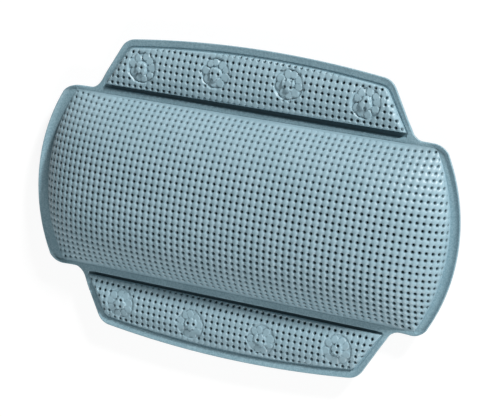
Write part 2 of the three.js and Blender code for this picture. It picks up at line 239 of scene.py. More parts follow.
FLOOR_HALF = 6.0
FLOOR_GLOW = 0.8
floor_material = bpy.data.materials.new("floor")
floor_material.use_nodes = True
floor_material.node_tree.nodes.clear()
g = Graph(floor_material.node_tree)
rays = g.add("ShaderNodeLightPath").outputs
seen = g.math("MAXIMUM", rays["Is Camera Ray"], rays["Is Glossy Ray"])
seen = g.math("MAXIMUM", seen, rays["Is Transmission Ray"])
glowing = g.math("MULTIPLY", seen, FLOOR_GLOW)
paper = g.add("ShaderNodeBsdfDiffuse", {"Color": (0.94, 0.94, 0.94, 1)})
glow = g.add("ShaderNodeEmission", {"Color": (1, 1, 1, 1), "Strength": 1.1})
mixed = g.add("ShaderNodeMixShader", {0: glowing, 1: paper.outputs[0], 2: glow.outputs[0]})
g.add("ShaderNodeOutputMaterial", {"Surface": mixed.outputs[0]})
corners = [(x * FLOOR_HALF, y * FLOOR_HALF, 0) for x, y in ((-1, -1), (1, -1), (1, 1), (-1, 1))]
floor = mesh_object("floor", corners, [(0, 1, 2, 3)], floor_material)
print("floor of", 2 * FLOOR_HALF, "m")

# %% [markdown]
# ## Vinyl
# Foamed vinyl is satin, slightly mottled and finely speckled. The same grain shows on the embossed pads, on
# the smooth welded border and on the back, so it is one node group that each material places with its own
# values. Shade is painted down in the pits, by a mask that the embossing tree leaves on the mesh, and along
# creases, by a mask stored with the mesh.

# %% Vinyl


def grain_group():
    tree = bpy.data.node_groups.new("vinyl_grain", "ShaderNodeTree")
    add_sockets(tree, "INPUT", "Float", "Speckle Size")
    add_sockets(tree, "OUTPUT", "Float", "Speckle", "Mottle", "Roughness", "Height")
    g = Graph(tree)
    given = g.add("NodeGroupInput")
    place = g.add("ShaderNodeTexCoord").outputs["Object"]
    density = g.math("DIVIDE", 1.0, given.outputs["Speckle Size"])
    fine = g.add("ShaderNodeTexNoise", {"Vector": place, "Scale": density, "Detail": 3.0, "Roughness": 0.6})
    broad = g.add("ShaderNodeTexNoise", {"Vector": place, "Scale": 45.0, "Detail": 2.0})
    finer = g.math("MULTIPLY", density, 2.2)
    pores = g.add("ShaderNodeTexNoise", {"Vector": place, "Scale": finer, "Detail": 2.0})
    out = g.add("NodeGroupOutput")
    g.plug(g.ease(fine.outputs["Fac"], 0.3, 0.7), out.inputs["Speckle"])
    g.plug(g.ease(broad.outputs["Fac"], 0.3, 0.7), out.inputs["Mottle"])
    g.plug(g.ease(fine.outputs["Fac"], 0.25, 0.75, 0.33, 0.45), out.inputs["Roughness"])
    g.plug(pores.outputs["Fac"], out.inputs["Height"])
    return tree


GRAIN = grain_group()


def vinyl(name, base, light, dark, speckle_size, speckle, bump, pit_shade_colour=None, crease_shade_colour=None):
    """A vinyl with its own speckle; its masks paint shade into pits and creases, and a pit has little sheen."""
    material = bpy.data.materials.new(name)
    material.use_nodes = True
    g = Graph(material.node_tree)
    shader = material.node_tree.nodes["Principled BSDF"]
    grain = g.add("ShaderNodeGroup", node_tree=GRAIN)
    grain.inputs["Speckle Size"].default_value = speckle_size
    colour = g.blend(grain.outputs["Mottle"], (*base, 1), (*light, 1))
    colour = g.blend(g.math("MULTIPLY", grain.outputs["Speckle"], speckle), colour, (*dark, 1))
    # Painted shade: where a crease or a pit lies, its mask blends the colour towards a dark tone.
    for mask, tone in (("crease", crease_shade_colour), ("pit", pit_shade_colour)):
        if tone:
            share = g.add("ShaderNodeAttribute", attribute_name=mask).outputs["Fac"]
            colour = g.blend(share, colour, (*tone, 1))
    g.plug(colour, shader.inputs["Base Color"])
    g.plug(g.ease(share, 0.0, 1.0, 0.5, 0.08) if pit_shade_colour else 0.5, shader.inputs["Specular IOR Level"])
    g.plug(grain.outputs["Roughness"], shader.inputs["Roughness"])
    height = grain.outputs["Height"]
    relief = g.add("ShaderNodeBump", {"Height": height, "Strength": bump, "Distance": 0.2 * MM})
    g.plug(relief.outputs["Normal"], shader.inputs["Normal"])
    return material


# The dark tones for pits and creases are painted shade, not the vinyl's own colour.
EMBOSSED = vinyl(
    "embossed_vinyl", base=(0.308, 0.455, 0.52), light=(0.338, 0.485, 0.552), dark=(0.274, 0.414, 0.48),
    speckle_size=0.9 * MM, speckle=0.5, bump=0.25,
    pit_shade_colour=(0.015, 0.035, 0.045), crease_shade_colour=(0.13, 0.21, 0.25),
)
# The welded vinyl's crease tone is painted shade, dark in the fold's groove.
WELDED = vinyl(
    "welded_vinyl", base=(0.285, 0.437, 0.503), light=(0.33, 0.488, 0.554), dark=(0.165, 0.29, 0.35),
    speckle_size=1.3 * MM, speckle=0.75, bump=0.4, crease_shade_colour=(0.035, 0.085, 0.11),
)
BACKING = vinyl(
    "back_vinyl", base=(0.19, 0.3, 0.355), light=(0.215, 0.33, 0.385), dark=(0.16, 0.26, 0.31),
    speckle_size=1.4 * MM, speckle=0.5, bump=0.35,
)
print("materials", [m.name for m in (EMBOSSED, WELDED, BACKING)])

# %% [markdown]
# ## Rules of the panels
# A few formulas give every panel its plan and height. The bolster's ends are arcs, and its dome is nearly
# flat on top and falls off steeply round the edge. A flap has leaning sides and a bowed outer edge. Working
# from formulas, not from points, keeps pads, borders and backs on the same lines.

# %% Rules of the panels
ALONG_POWER, ALONG_ROUNDNESS = 4, 0.52
ACROSS_POWER, ACROSS_ROUNDNESS = 2.9, 0.95


def ease(value, start, end):
    share = np.clip((value - start) / (end - start), 0, 1)
    return share * share * (3 - 2 * share)


def end_arc(y):
    return HALF_LENGTH - END_ARC_RADIUS + np.sqrt(END_ARC_RADIUS**2 - np.square(y))


def dome_point(along, across):
    """Point of the bolster's dome at shares of its half-length and half-width."""
    y = across * PAD_EDGE
    x = along * (end_arc(y) - END_BORDER)
    lengthwise = np.maximum(0, 1 - np.abs(along) ** ALONG_POWER) ** ALONG_ROUNDNESS
    crosswise = np.maximum(0, 1 - np.abs(across) ** ACROSS_POWER) ** ACROSS_ROUNDNESS
    return np.stack([x, y, BORDER_TOP + CROWN * lengthwise * crosswise], -1)


def flap_side(y, border=0.0):
    """Half-length of a flap, or of its pad, whose side border narrows towards the fold."""
    leaning = flap_back_high.x - SIDE_SLOPE * (y - flap_back_low.y)
    narrowing = BORDER_NARROWING * (FLAP_REACH - y) if border else 0.0
    return leaning - border * math.hypot(1, SIDE_SLOPE) + narrowing


def flap_edge(x, border=0.0):
    bow = FLAP_EDGE_RADIUS - np.sqrt(FLAP_EDGE_RADIUS**2 - np.square(x))
    return FLAP_REACH - border - bow


print("dome from %.1f to %.1f mm" % (dome_point(1.0, 0.0)[2] / MM, dome_point(0.0, 0.0)[2] / MM))

# %% [markdown]
# ## Outlines of a flap
# A flap's border lies between two outlines, its rim and its pad, with the same number of points. Beside the
# bolster the rim follows the seam, shared with the bolster's border, and then half of the rounded notch.

# %% Outlines of a flap


def arc_between(corner, arriving, leaving, radius, steps):
    """Points of the arc that rounds a corner, given the directions of the lines that meet there."""
    turn = math.acos(np.clip(np.dot(arriving, leaving), -1, 1))
    reach = radius * math.tan(turn / 2)
    start, end = corner - arriving * reach, corner + leaving * reach
    across = np.array([-arriving[1], arriving[0]])
    centre = start + across * radius * np.sign(np.dot(across, leaving))
    shares = np.linspace(0, turn, steps)[:, None]
    spoke = start - centre
    return centre + spoke * np.cos(shares) + arriving * radius * np.sin(shares), start, end


def evenly(points, count):
    """The same run of points at even spacing."""
    points = np.asarray(points, float)
    length = np.r_[0, np.cumsum(np.linalg.norm(np.diff(points, axis=0), axis=1))]
    wanted = np.linspace(0, length[-1], count)
    return np.stack([np.interp(wanted, length, points[:, k]) for k in range(2)], -1)


def flap_half_outline(foot, border, radius, counts):
    """Half of a flap's outline on the +X side, from its foot by the fold to the middle of its bowed edge."""
    corner = np.array([0.0, FLAP_REACH - border])
    for _ in range(30):
        corner = np.array([flap_side(corner[1], border), flap_edge(corner[0], border)])
    slope = SIDE_SLOPE + (BORDER_NARROWING if border else 0.0)
    up = np.array([-slope, 1]) / math.hypot(1, slope)
    lean = math.asin(corner[0] / FLAP_EDGE_RADIUS)
    bow = np.array([-math.cos(lean), math.sin(lean)])
    arc, start, end = arc_between(corner, up, bow, radius, counts[1])
    xs = np.linspace(end[0], 0, 60)
    edge = np.stack([xs, flap_edge(xs, border)], -1)
    side = evenly([foot[-1], start], counts[0])
    return np.vstack([foot, side[1:], arc[1:-1], evenly(edge, counts[2])])


STRIP_START = PAD_EDGE + 0.4 * MM
BORDER_Y = FOLD_Y - 0.6 * MM
PAD_INNER = FOLD_Y + 3.8 * MM
NOTCH_RADIUS = 10 * MM
NOTCH_STEPS, NOTCH_MIDDLE = 23, 11
FLAP_CORNER, PAD_CORNER = 14 * MM, 8 * MM
FLAP_COUNTS = (50, 90, 90)  # side, corner and half of the bowed edge
FOLD_COUNT, FLAP_FREE_RUN = 180, 14
notch = np.array([flap_side(BORDER_Y), BORDER_Y])
side_up = np.array([-SIDE_SLOPE, 1]) / math.hypot(1, SIDE_SLOPE)
notch_arc, notch_start, _ = arc_between(notch, np.array([-1.0, 0]), side_up, NOTCH_RADIUS, NOTCH_STEPS)
bolster_notch, flap_notch = notch_arc[NOTCH_MIDDLE::-1], notch_arc[NOTCH_MIDDLE:]
STRIP_END = flap_side(PAD_INNER, FLAP_BORDER) + 1 * MM
seam_corner = (STRIP_END, BORDER_Y + 0.8 * MM)
seam_rise = evenly([(STRIP_END, STRIP_START), seam_corner], 6)
SEAM = np.vstack([seam_rise, evenly([seam_corner, notch_arc[NOTCH_MIDDLE]], 8)[1:]])
foot = np.vstack([SEAM, flap_notch[1:]])
FLAP_OUTER = flap_half_outline(foot, 0.0, FLAP_CORNER, FLAP_COUNTS)
foot_y = PAD_INNER + np.r_[np.linspace(0, 0.02, 6), np.linspace(0.02, 2, len(foot) - 5)[1:]] * MM
pad_foot = np.stack([flap_side(foot_y, FLAP_BORDER), foot_y], -1)
FLAP_PAD = flap_half_outline(pad_foot, FLAP_BORDER, PAD_CORNER, FLAP_COUNTS)


def closed_flap(half):
    """The whole outline: along the fold, up the +X side, over the bowed edge and down the -X side."""
    fold = evenly([half[0] * (-1, 1), half[0]], FOLD_COUNT)
    return np.vstack([fold[:-1], half[:-1], (half * (-1, 1))[::-1][:-1]])


half_free = np.clip((np.arange(len(FLAP_OUTER)) - len(SEAM) + 1) / FLAP_FREE_RUN, 0, 1) ** 2
FLAP_FREE = np.r_[np.zeros(FOLD_COUNT - 1), half_free[:-1], half_free[::-1][:-1]]
FLAP_OUTER_LOOP, FLAP_PAD_LOOP = closed_flap(FLAP_OUTER), closed_flap(FLAP_PAD)
print("flap outline", len(FLAP_OUTER_LOOP), "points, strip ends at %.1f mm" % (STRIP_END / MM))

# %% [markdown]
# ## Puffing the panels with cloth
# Air and foam push a welded panel out between its welds. A light cloth sheet over each panel, pinned where it
# is welded and blown up a little, finds that shape. Only its small change from the rule is kept, capped, and
# the dense embossed sheet takes it over later, so the simulation stays small and quick.

# %% Puffing the panels with cloth
PUFF_STEPS = 20
CLOTH_SETTINGS = {
    "vertex_group_mass": "weld", "use_pressure": True, "mass": 0.3, "quality": 6, "tension_stiffness": 25,
    "compression_stiffness": 25, "shear_stiffness": 10, "bending_stiffness": 1.0,
}


def puffed(name, points, faces, pinned, pressure, cap):
    """How far cloth pinned at its welds moves from its first shape under pressure, in metres."""
    sheet = mesh_object(name, points, faces)
    sheet.vertex_groups.new(name="weld").add([int(i) for i in pinned], 1.0, "REPLACE")
    cloth = sheet.modifiers.new("puff", "CLOTH")
    for setting, value in CLOTH_SETTINGS.items():
        setattr(cloth.settings, setting, value)
    cloth.settings.uniform_pressure_force = pressure
    cloth.settings.effector_weights.gravity = 0
    cloth.collision_settings.use_collision = False
    cloth.point_cache.frame_start, cloth.point_cache.frame_end = 1, PUFF_STEPS
    for step in range(1, PUFF_STEPS + 1):
        scene.frame_set(step)
    shape = sheet.evaluated_get(bpy.context.evaluated_depsgraph_get())
    moved = np.zeros(len(points) * 3, np.float32)
    shape.data.vertices.foreach_get("co", moved)
    scene.frame_set(1)
    bpy.data.objects.remove(sheet)
    change = moved.reshape(-1, 3) - points
    length = np.linalg.norm(change, axis=1, keepdims=True)
    print(name, "moved up to %.2f mm" % (length.max() / MM))
    return change * np.minimum(1, cap / np.maximum(length, 1e-9))


print("cloth runs for", PUFF_STEPS, "steps")

# %% [markdown]
# ## The bolster's puff
# The bolster's cloth starts on the dome. Its rows and columns crowd towards the welded rim, where the dome is
# steepest, because they are spaced by the sine of even turns.

# %% The bolster's puff
PUFF_ROWS, PUFF_COLUMNS = 33, 65
PUFF_CAP = 3 * MM


def grid_faces(rows, columns):
    corner = np.arange((rows - 1) * columns).reshape(rows - 1, columns)[:, :-1].ravel()
    return np.stack([corner, corner + columns, corner + columns + 1, corner + 1], -1)


def grid_rim(rows, columns):
    index = np.arange(rows * columns).reshape(rows, columns)
    return np.unique(np.r_[index[0], index[-1], index[:, 0], index[:, -1]])


angles = np.meshgrid(np.linspace(-1, 1, PUFF_ROWS), np.linspace(-1, 1, PUFF_COLUMNS), indexing="ij")
across_shares, along_shares = (np.sin(a * math.pi / 2) for a in angles)
dome = dome_point(along_shares, across_shares).reshape(-1, 3)
dome_faces = grid_faces(PUFF_ROWS, PUFF_COLUMNS)[:, ::-1]
rim = grid_rim(PUFF_ROWS, PUFF_COLUMNS)
bolster_puff = puffed("bolster_sheet", dome, dome_faces, rim, pressure=2.0, cap=PUFF_CAP)
bolster_puff = bolster_puff.reshape(PUFF_ROWS, PUFF_COLUMNS, 3)

# %% [markdown]
# ## The weave's lattice
# The sheet was embossed flat and then laid over the foam, so the rows of pits keep their spacing along the
# surface, not in plan. The mesh follows the weave: every pit has its own rings of corners, drawn round.

# %% The weave's lattice
CELL = np.array([5.22, 5.49]) * MM
WEAVE_TURN = math.radians(-1.3)


def stations(low, high, shares):
    cells = np.arange(math.floor(low) - 1, math.ceil(high) + 1)
    return (cells[:, None] + np.array(shares)).ravel()


def lattice(low, high, shares):
    """Places on the flat sheet, counted in cells, with the rings of places round each pit made circles."""
    v, u = np.meshgrid(stations(low[1], high[1], shares), stations(low[0], high[0], shares), indexing="ij")
    pit_u, pit_v = np.round(u), np.round(v)
    du, dv = u - pit_u, v - pit_v
    square = np.maximum(np.abs(du), np.abs(dv))
    draw = 1 - ease(square, 0.22, 0.5)
    scale = 1 + draw * (square / np.maximum(np.hypot(du, dv), 1e-9) - 1)
    return pit_u + du * scale, pit_v + dv * scale


def on_sheet(u, v, cell, phase):
    """Cells to metres on the flat sheet, turned a little against the panel."""
    a, b = (u - phase[0]) * cell[0], (v - phase[1]) * cell[1]
    c, s = math.cos(WEAVE_TURN), math.sin(WEAVE_TURN)
    return c * a - s * b, s * a + c * b


print("cells of %.2f by %.2f mm" % tuple(CELL / MM))

# %% [markdown]
# ## Lengths over the dome
# Tables of the length over the dome, along and across, are turned round to give the place at a length. Along
# and across depend on each other, so a few rounds settle both.

# %% Lengths over the dome
TABLE, LENGTH_STEPS, WIDTH_STEPS = 241, 801, 401
MARGIN, ROUNDS = 1.05, 8
turns = np.linspace(-1, 1, TABLE)
shares = np.sin(turns * math.pi / 2)
fine = dome_point(*np.meshgrid(shares, shares, indexing="ij"))


def length_along(axis):
    """Length over the dome from its middle, along one axis of the table."""
    steps = np.linalg.norm(np.diff(fine, axis=axis), axis=2)
    run = np.concatenate([np.zeros_like(np.take(steps, [0], axis)), np.cumsum(steps, axis)], axis)
    return run - np.take(run, [TABLE // 2], axis)


ALONG, ACROSS = length_along(0), length_along(1)
REACH_ALONG, REACH_ACROSS = ALONG.max() * MARGIN, ACROSS.max() * MARGIN
metres_along = np.linspace(-REACH_ALONG, REACH_ALONG, LENGTH_STEPS)
metres_across = np.linspace(-REACH_ACROSS, REACH_ACROSS, WIDTH_STEPS)
turn_at_length = np.stack([np.interp(metres_along, ALONG[:, j], turns) for j in range(TABLE)])
turn_at_width = np.stack([np.interp(metres_across, ACROSS[i], turns) for i in range(TABLE)])


def linear(table, row, column):
    row = np.clip(row, 0, table.shape[0] - 1.001)
    column = np.clip(column, 0, table.shape[1] - 1.001)
    r, c = row.astype(int), column.astype(int)
    fr, fc = row - r, column - c
    low = table[r, c] * (1 - fc) + table[r, c + 1] * fc
    high = table[r + 1, c] * (1 - fc) + table[r + 1, c + 1] * fc
    return low * (1 - fr) + high * fr


def on_dome(along, across):
    """Turns along and across the dome, each from -1 to 1, of places in metres on the flat sheet."""
    as_row = lambda turn: (turn + 1) / 2 * (TABLE - 1)
    column_along = (along / REACH_ALONG + 1) / 2 * (LENGTH_STEPS - 1)
    column_across = (across / REACH_ACROSS + 1) / 2 * (WIDTH_STEPS - 1)
    lengthwise = along / REACH_ALONG
    for _ in range(ROUNDS):
        crosswise = linear(turn_at_width, as_row(lengthwise), column_across)
        lengthwise = linear(turn_at_length, as_row(crosswise), column_along)
    return lengthwise, crosswise


print("sheet over the dome: %.0f by %.0f mm" % (2 * ALONG.max() / MM, 2 * ACROSS.max() / MM))

# %% [markdown]
# ## Embossing tree
# The basket weave repeats thousands of times by one rule, which is what Geometry Nodes are for. Each cell is
# a soft pad that runs along or across the sheet in turn, and a deep pit sits at every corner of four cells.
# The tree reads the cell counts stored on the mesh, pushes the points along their normals and stores the
# pits' painted shade as a mask for the colour. A pit is a bevel round a hole with painted shade at its
# bottom, each given as a span of the pit's radius.

# %% Embossing tree
BEVEL_SPAN, HOLE_SPAN, DARK_SPAN = (0.55, 1.05), (0.36, 0.66), (0.5, 0.8)


def emboss_tree():
    tree = bpy.data.node_groups.new("weave_emboss", "GeometryNodeTree")
    add_sockets(tree, "INPUT", "Geometry", "Geometry")
    add_sockets(tree, "INPUT", "Float", "Pad Height", "Bevel Depth", "Pit Depth", "Pit Radius")
    add_sockets(tree, "INPUT", "Material", "Material")
    add_sockets(tree, "OUTPUT", "Geometry", "Geometry")
    g = Graph(tree)
    given = g.add("NodeGroupInput").outputs
    stored = g.add("GeometryNodeInputNamedAttribute", {"Name": "weave"}, data_type="FLOAT_VECTOR")
    u, v, mask = g.add("ShaderNodeSeparateXYZ", {"Vector": stored.outputs["Attribute"]}).outputs

    plus, minus, times = (partial(g.math, name) for name in ("ADD", "SUBTRACT", "MULTIPLY"))

    def from_middle(count):
        return times(g.math("ABSOLUTE", minus(g.math("FRACT", count), 0.5)), 2.0)

    def swapped(first, second, share):
        return plus(first, times(share, minus(second, first)))

    def falling(distance, power):
        return minus(1.0, g.math("POWER", distance, power))

    wide, tall = from_middle(u), from_middle(v)
    turned = g.math("FLOORED_MODULO", plus(g.math("FLOOR", u), g.math("FLOOR", v)), 2.0)
    sides, ends = swapped(wide, tall, turned), swapped(tall, wide, turned)
    pad = times(falling(sides, 2.5), falling(ends, 6.0))
    squares = [g.math("POWER", minus(count, g.math("ROUND", count)), 2.0) for count in (u, v)]
    to_lip = g.math("DIVIDE", g.math("SQRT", plus(*squares)), given["Pit Radius"])
    bevel = times(g.ease(to_lip, *BEVEL_SPAN, 1.0, 0.0), given["Bevel Depth"])
    hole = times(g.ease(to_lip, *HOLE_SPAN, 1.0, 0.0), given["Pit Depth"])
    # Painted shade down in the pit, stored below as the pit mask that the material reads.
    bottom = times(mask, g.ease(to_lip, *DARK_SPAN, 1.0, 0.0))
    lift = times(minus(times(pad, given["Pad Height"]), plus(bevel, hole)), mask)
    normal = g.add("GeometryNodeInputNormal").outputs[0]
    push = g.add("ShaderNodeVectorMath", {"Vector": normal, "Scale": lift}, operation="SCALE")
    moved = g.add("GeometryNodeSetPosition", {"Geometry": given["Geometry"], "Offset": push.outputs[0]})
    kept = g.add(
        "GeometryNodeStoreNamedAttribute", {"Geometry": moved.outputs[0], "Name": "pit", "Value": bottom},
        data_type="FLOAT", domain="POINT",
    )
    real = g.add("GeometryNodeRealizeInstances", {"Geometry": kept.outputs[0]})
    dressed = g.add("GeometryNodeSetMaterial", {"Geometry": real.outputs[0], "Material": given["Material"]})
    g.add("NodeGroupOutput", {"Geometry": dressed.outputs[0]})
    return tree


EMBOSS = emboss_tree()
print("embossing tree of", len(EMBOSS.nodes), "nodes")

# %% [markdown]
# ## Sheets of pads
# A panel's sheet is the lattice cut off at the weld: places beyond the weld are drawn onto it, and cells that
# lie wholly beyond are dropped. After embossing, the rim is carried down to the weld and closed below, so the
# pad is one solid body.

# %% Sheets of pads
EMBOSS_VALUES = {
    "Pad Height": 0.3 * MM, "Bevel Depth": 0.85 * MM, "Pit Depth": 2.1 * MM, "Pit Radius": 0.31,
    "Material": EMBOSSED,
}


def as_plain_mesh(obj, tree, values):
    """Runs a node tree on an object and keeps the result as the object's own mesh."""
    modifier = obj.modifiers.new(tree.name, "NODES")
    modifier.node_group = tree
    for socket in tree.interface.items_tree:
        if socket.in_out == "INPUT" and socket.name in values:
            modifier[socket.identifier] = values[socket.name]
    bpy.context.view_layer.update()
    mesh = bpy.data.meshes.new_from_object(obj.evaluated_get(bpy.context.evaluated_depsgraph_get()))
    obj.modifiers.remove(modifier)
    old = obj.data
    obj.data = mesh
    bpy.data.meshes.remove(old)
    mesh.name = obj.name
    return obj


def embossed_sheet(name, places, outside, weave, crease, floor_z):
    rows, columns = outside.shape
    faces = grid_faces(rows, columns)[:, ::-1]
    faces = faces[~outside.ravel()[faces].all(1)]
    used, compact = np.unique(faces, return_inverse=True)
    obj = mesh_object(name, places.reshape(-1, 3)[used], compact.reshape(-1, 4))
    # The crease mask carries painted shade into the material.
    for label, kind, field, values in (
        ("weave", "FLOAT_VECTOR", "vector", weave.reshape(-1, 3)),
        ("crease", "FLOAT", "value", crease.reshape(-1, 1)),
    ):
        stored = obj.data.attributes.new(label, kind, "POINT")
        stored.data.foreach_set(field, values[used].astype(np.float32).ravel())
    work = bmesh.new()
    work.from_mesh(obj.data)
    bmesh.ops.remove_doubles(work, verts=work.verts, dist=0.02 * MM)
    bmesh.ops.dissolve_degenerate(work, edges=work.edges, dist=0.005 * MM)
    bmesh.ops.recalc_face_normals(work, faces=work.faces)
    work.to_mesh(obj.data)
    work.free()
    obj.data.shade_smooth()
    as_plain_mesh(obj, EMBOSS, EMBOSS_VALUES)
    work = bmesh.new()
    work.from_mesh(obj.data)
    rim = [edge for edge in work.edges if edge.is_boundary]
    skirt = bmesh.ops.extrude_edge_only(work, edges=rim)["geom"]
    for vertex in (item for item in skirt if isinstance(item, bmesh.types.BMVert)):
        vertex.co.z = floor_z
    bmesh.ops.holes_fill(work, edges=[edge for edge in work.edges if edge.is_boundary], sides=0)
    turn_outwards(work)
    for edge in rim:
        edge.smooth = False
    work.to_mesh(obj.data)
    work.free()
    obj.data.shade_smooth()
    triangles = sum(len(face.vertices) - 2 for face in obj.data.polygons)
    print(name, triangles, "triangles")
    return obj


print("sheets are embossed by", EMBOSS.name)

# %% [markdown]
# ## The bolster's pad
# The lattice is laid over the dome and moved as the cloth moved. A narrow foot along the fold sides stays
# plain, where the weld pressed the weave flat, and is painted a little darker as shade at the dome's foot. On
# the upper flank the photograph's pits look smaller, so the embossing is shallower there and the painted
# shade in its pits lighter.

# %% The bolster's pad
BOLSTER_SHARES = (0.0, 0.11, 0.19, 0.31, 0.69, 0.81, 0.89)
BOLSTER_PHASE = (0.317, 0.473)
PLAIN_FOOT = 1.3 * MM
PULL_SHARE, FOOT_PAINTED_SHADE = 0.4, 0.35


def cubic(table, row, column):
    """Smooth lookup in a table of vectors at fractional rows and columns."""
    def weights(t):
        inner = 2 - 5 * t**2 + 3 * t**3, t + 4 * t**2 - 3 * t**3
        return np.stack([-t + 2 * t**2 - t**3, *inner, t**3 - t**2]) / 2
    total = 0
    rows, columns = table.shape[:2]
    r, c = np.floor(row).astype(int), np.floor(column).astype(int)
    for i, wr in enumerate(weights(row - r)):
        for j, wc in enumerate(weights(column - c)):
            picked = table[np.clip(r + i - 1, 0, rows - 1), np.clip(c + j - 1, 0, columns - 1)]
            total = total + picked * (wr * wc)[:, None]
    return total


half_cells = np.array([REACH_ALONG, REACH_ACROSS]) / CELL
u, v = lattice(-half_cells, half_cells, BOLSTER_SHARES)
lengthwise, crosswise = on_dome(*on_sheet(u, v, CELL, BOLSTER_PHASE))
places = dome_point(np.sin(lengthwise * math.pi / 2), np.sin(crosswise * math.pi / 2))
row = (crosswise.ravel() + 1) / 2 * (PUFF_ROWS - 1)
column = (lengthwise.ravel() + 1) / 2 * (PUFF_COLUMNS - 1)
places = places + cubic(bolster_puff, row, column).reshape(places.shape)
outside = (np.abs(lengthwise) > 0.9999) | (np.abs(crosswise) > 0.9999)
to_side = PAD_EDGE - np.abs(places[..., 1])
to_end = end_arc(places[..., 1]) - END_BORDER - np.abs(places[..., 0])
edge_mask = ease(np.minimum(to_side - PLAIN_FOOT, to_end), 0.1 * MM, 0.6 * MM)
plain = 1 - ease(to_side, PLAIN_FOOT - 0.2 * MM, PLAIN_FOOT + 0.2 * MM)
# Less weave on the upper flank: shallower pits, and lighter painted shade in them.
pulled = PULL_SHARE * ease(places[..., 1], 12 * MM, 52 * MM)
weave = np.stack([u, v, edge_mask * (1 - pulled)], -1)
# The plain foot takes a share of painted shade through the crease mask.
bolster_pad = embossed_sheet("bolster_pad", places, outside, weave, FOOT_PAINTED_SHADE * plain, WELD_Z)

# %% [markdown]
# ## Weld spots
# Each suction cup is caught under a round weld. The press melts a ring of the weave flat: its pads run into
# uneven petals with thin creases between them, and a small cushion with a few pits stays up in the middle.
# The relief is worked out in polar terms round each spot, with its own seeded unevenness.

# %% Weld spots
SPOT_RADIUS = 12.2 * MM
PETALS = 9
PETAL_SHIFT = 0.6 * MM
LINE_DEPTH = 0.3 * MM


def spot_places(flap):
    boxes = [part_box("%s_suction_cup_%d" % (flap, i)) for i in range(1, 5)]
    return [((low.x + high.x) / 2, (low.y + high.y) / 2) for low, high in boxes]


def spot_relief(x, y, spots, ring_depth, bump_height, seed):
    """Lift, weave mask and mask of painted shade along the creases round the weld spots of one flap."""
    lift, mask, crease = np.zeros_like(x), np.ones_like(x), np.zeros_like(x)
    dice = np.random.default_rng(seed)

    def blob(dx, dy, turn, away, size, stretch):
        """A flattened lump at a distance and angle from the spot's middle, longer along its spoke."""
        c, s = math.cos(turn), math.sin(turn)
        along, across = (c * dx + s * dy - away) / (size * stretch), (c * dy - s * dx) / size
        return 1 - np.hypot(along, across) ** 3

    for spot_x, spot_y in spots:
        dx, dy = x - spot_x, y - spot_y
        radius = np.hypot(dx, dy)
        near = radius < 1.4 * SPOT_RADIUS
        dx, dy, radius = dx[near], dy[near], radius[near]
        start = dice.uniform(0, math.tau)
        petals = np.stack([
            dice.uniform(0.85, 1.15) * blob(
                dx - PETAL_SHIFT, dy - PETAL_SHIFT, start + (k + dice.uniform(-0.2, 0.2)) * math.tau / PETALS,
                dice.uniform(7.8, 8.7) * MM, dice.uniform(2.9, 3.7) * MM, dice.uniform(0.95, 1.25),
            ) for k in range(PETALS)
        ])
        petals.sort(0)
        first, second = petals[-1], petals[-2]
        lump = np.stack([
            blob(
                dx, dy, start + k * math.tau / 3,
                dice.uniform(1.2, 2.2) * MM, dice.uniform(3.2, 4.2) * MM, 1.1,
            ) for k in range(3)
        ]).max(0)
        pressed = 1 - ease(radius, SPOT_RADIUS - 1.0 * MM, SPOT_RADIUS + 0.4 * MM)
        raised = ease(lump, -0.15, 0.55)
        petal = ease(first, -0.05, 0.5) * (1 - raised)
        seam = np.exp(-np.square((first - second) / 0.1)) * ease(first, -0.2, 0.1)
        brim = np.exp(-np.square((first + 0.02) / 0.16))
        line = np.maximum(seam, 0.7 * brim) * pressed * (1 - raised)
        lift[near] += ring_depth * pressed * (0.75 * petal - 1) + (bump_height + ring_depth) * raised
        lift[near] -= LINE_DEPTH * line
        inside = ease(radius, SPOT_RADIUS - 0.6 * MM, SPOT_RADIUS + 0.4 * MM)
        mask[near] = np.minimum(mask[near], np.maximum(inside, ease(lump, 0.1, 0.4)))
        # Painted shade along the creases between the petals and round the brim.
        crease[near] = np.maximum(crease[near], line)
    return lift, mask, crease


print("weld spots", [len(spot_places(flap)) for flap in ("upper", "lower")])

# %% [markdown]
# ## A flap's puff
# The weave runs off a flap's edge, so each place needs its distance to the outline and the nearest place on
# it. The flap's cloth is pinned along its edges and in the weld spots.

# %% A flap's puff
FLAP_GRID = (25, 121)
FLAP_PUFF_CAP = 1.6 * MM
CHUNK = 4000


def to_outline(points, loop):
    """Distance to a closed outline, positive inside, and the nearest place on it."""
    a, b = loop, np.roll(loop, -1, 0)
    run = b - a
    gone = np.empty(len(points))
    near = np.empty_like(points)
    for first in range(0, len(points), CHUNK):
        part = points[first:first + CHUNK]
        share = ((part[:, None] - a) * run).sum(-1) / np.maximum((run**2).sum(-1), 1e-18)
        spots = a + run * np.clip(share, 0, 1)[..., None]
        offset = part[:, None] - spots
        distance = np.hypot(offset[..., 0], offset[..., 1])
        pick = distance.argmin(1)
        each = np.arange(len(part))
        side = run[pick, 0] * offset[each, pick, 1] - run[pick, 1] * offset[each, pick, 0]
        near[first:first + CHUNK] = spots[each, pick]
        gone[first:first + CHUNK] = distance[each, pick] * np.where(side >= 0, 1, -1)
    return gone, near


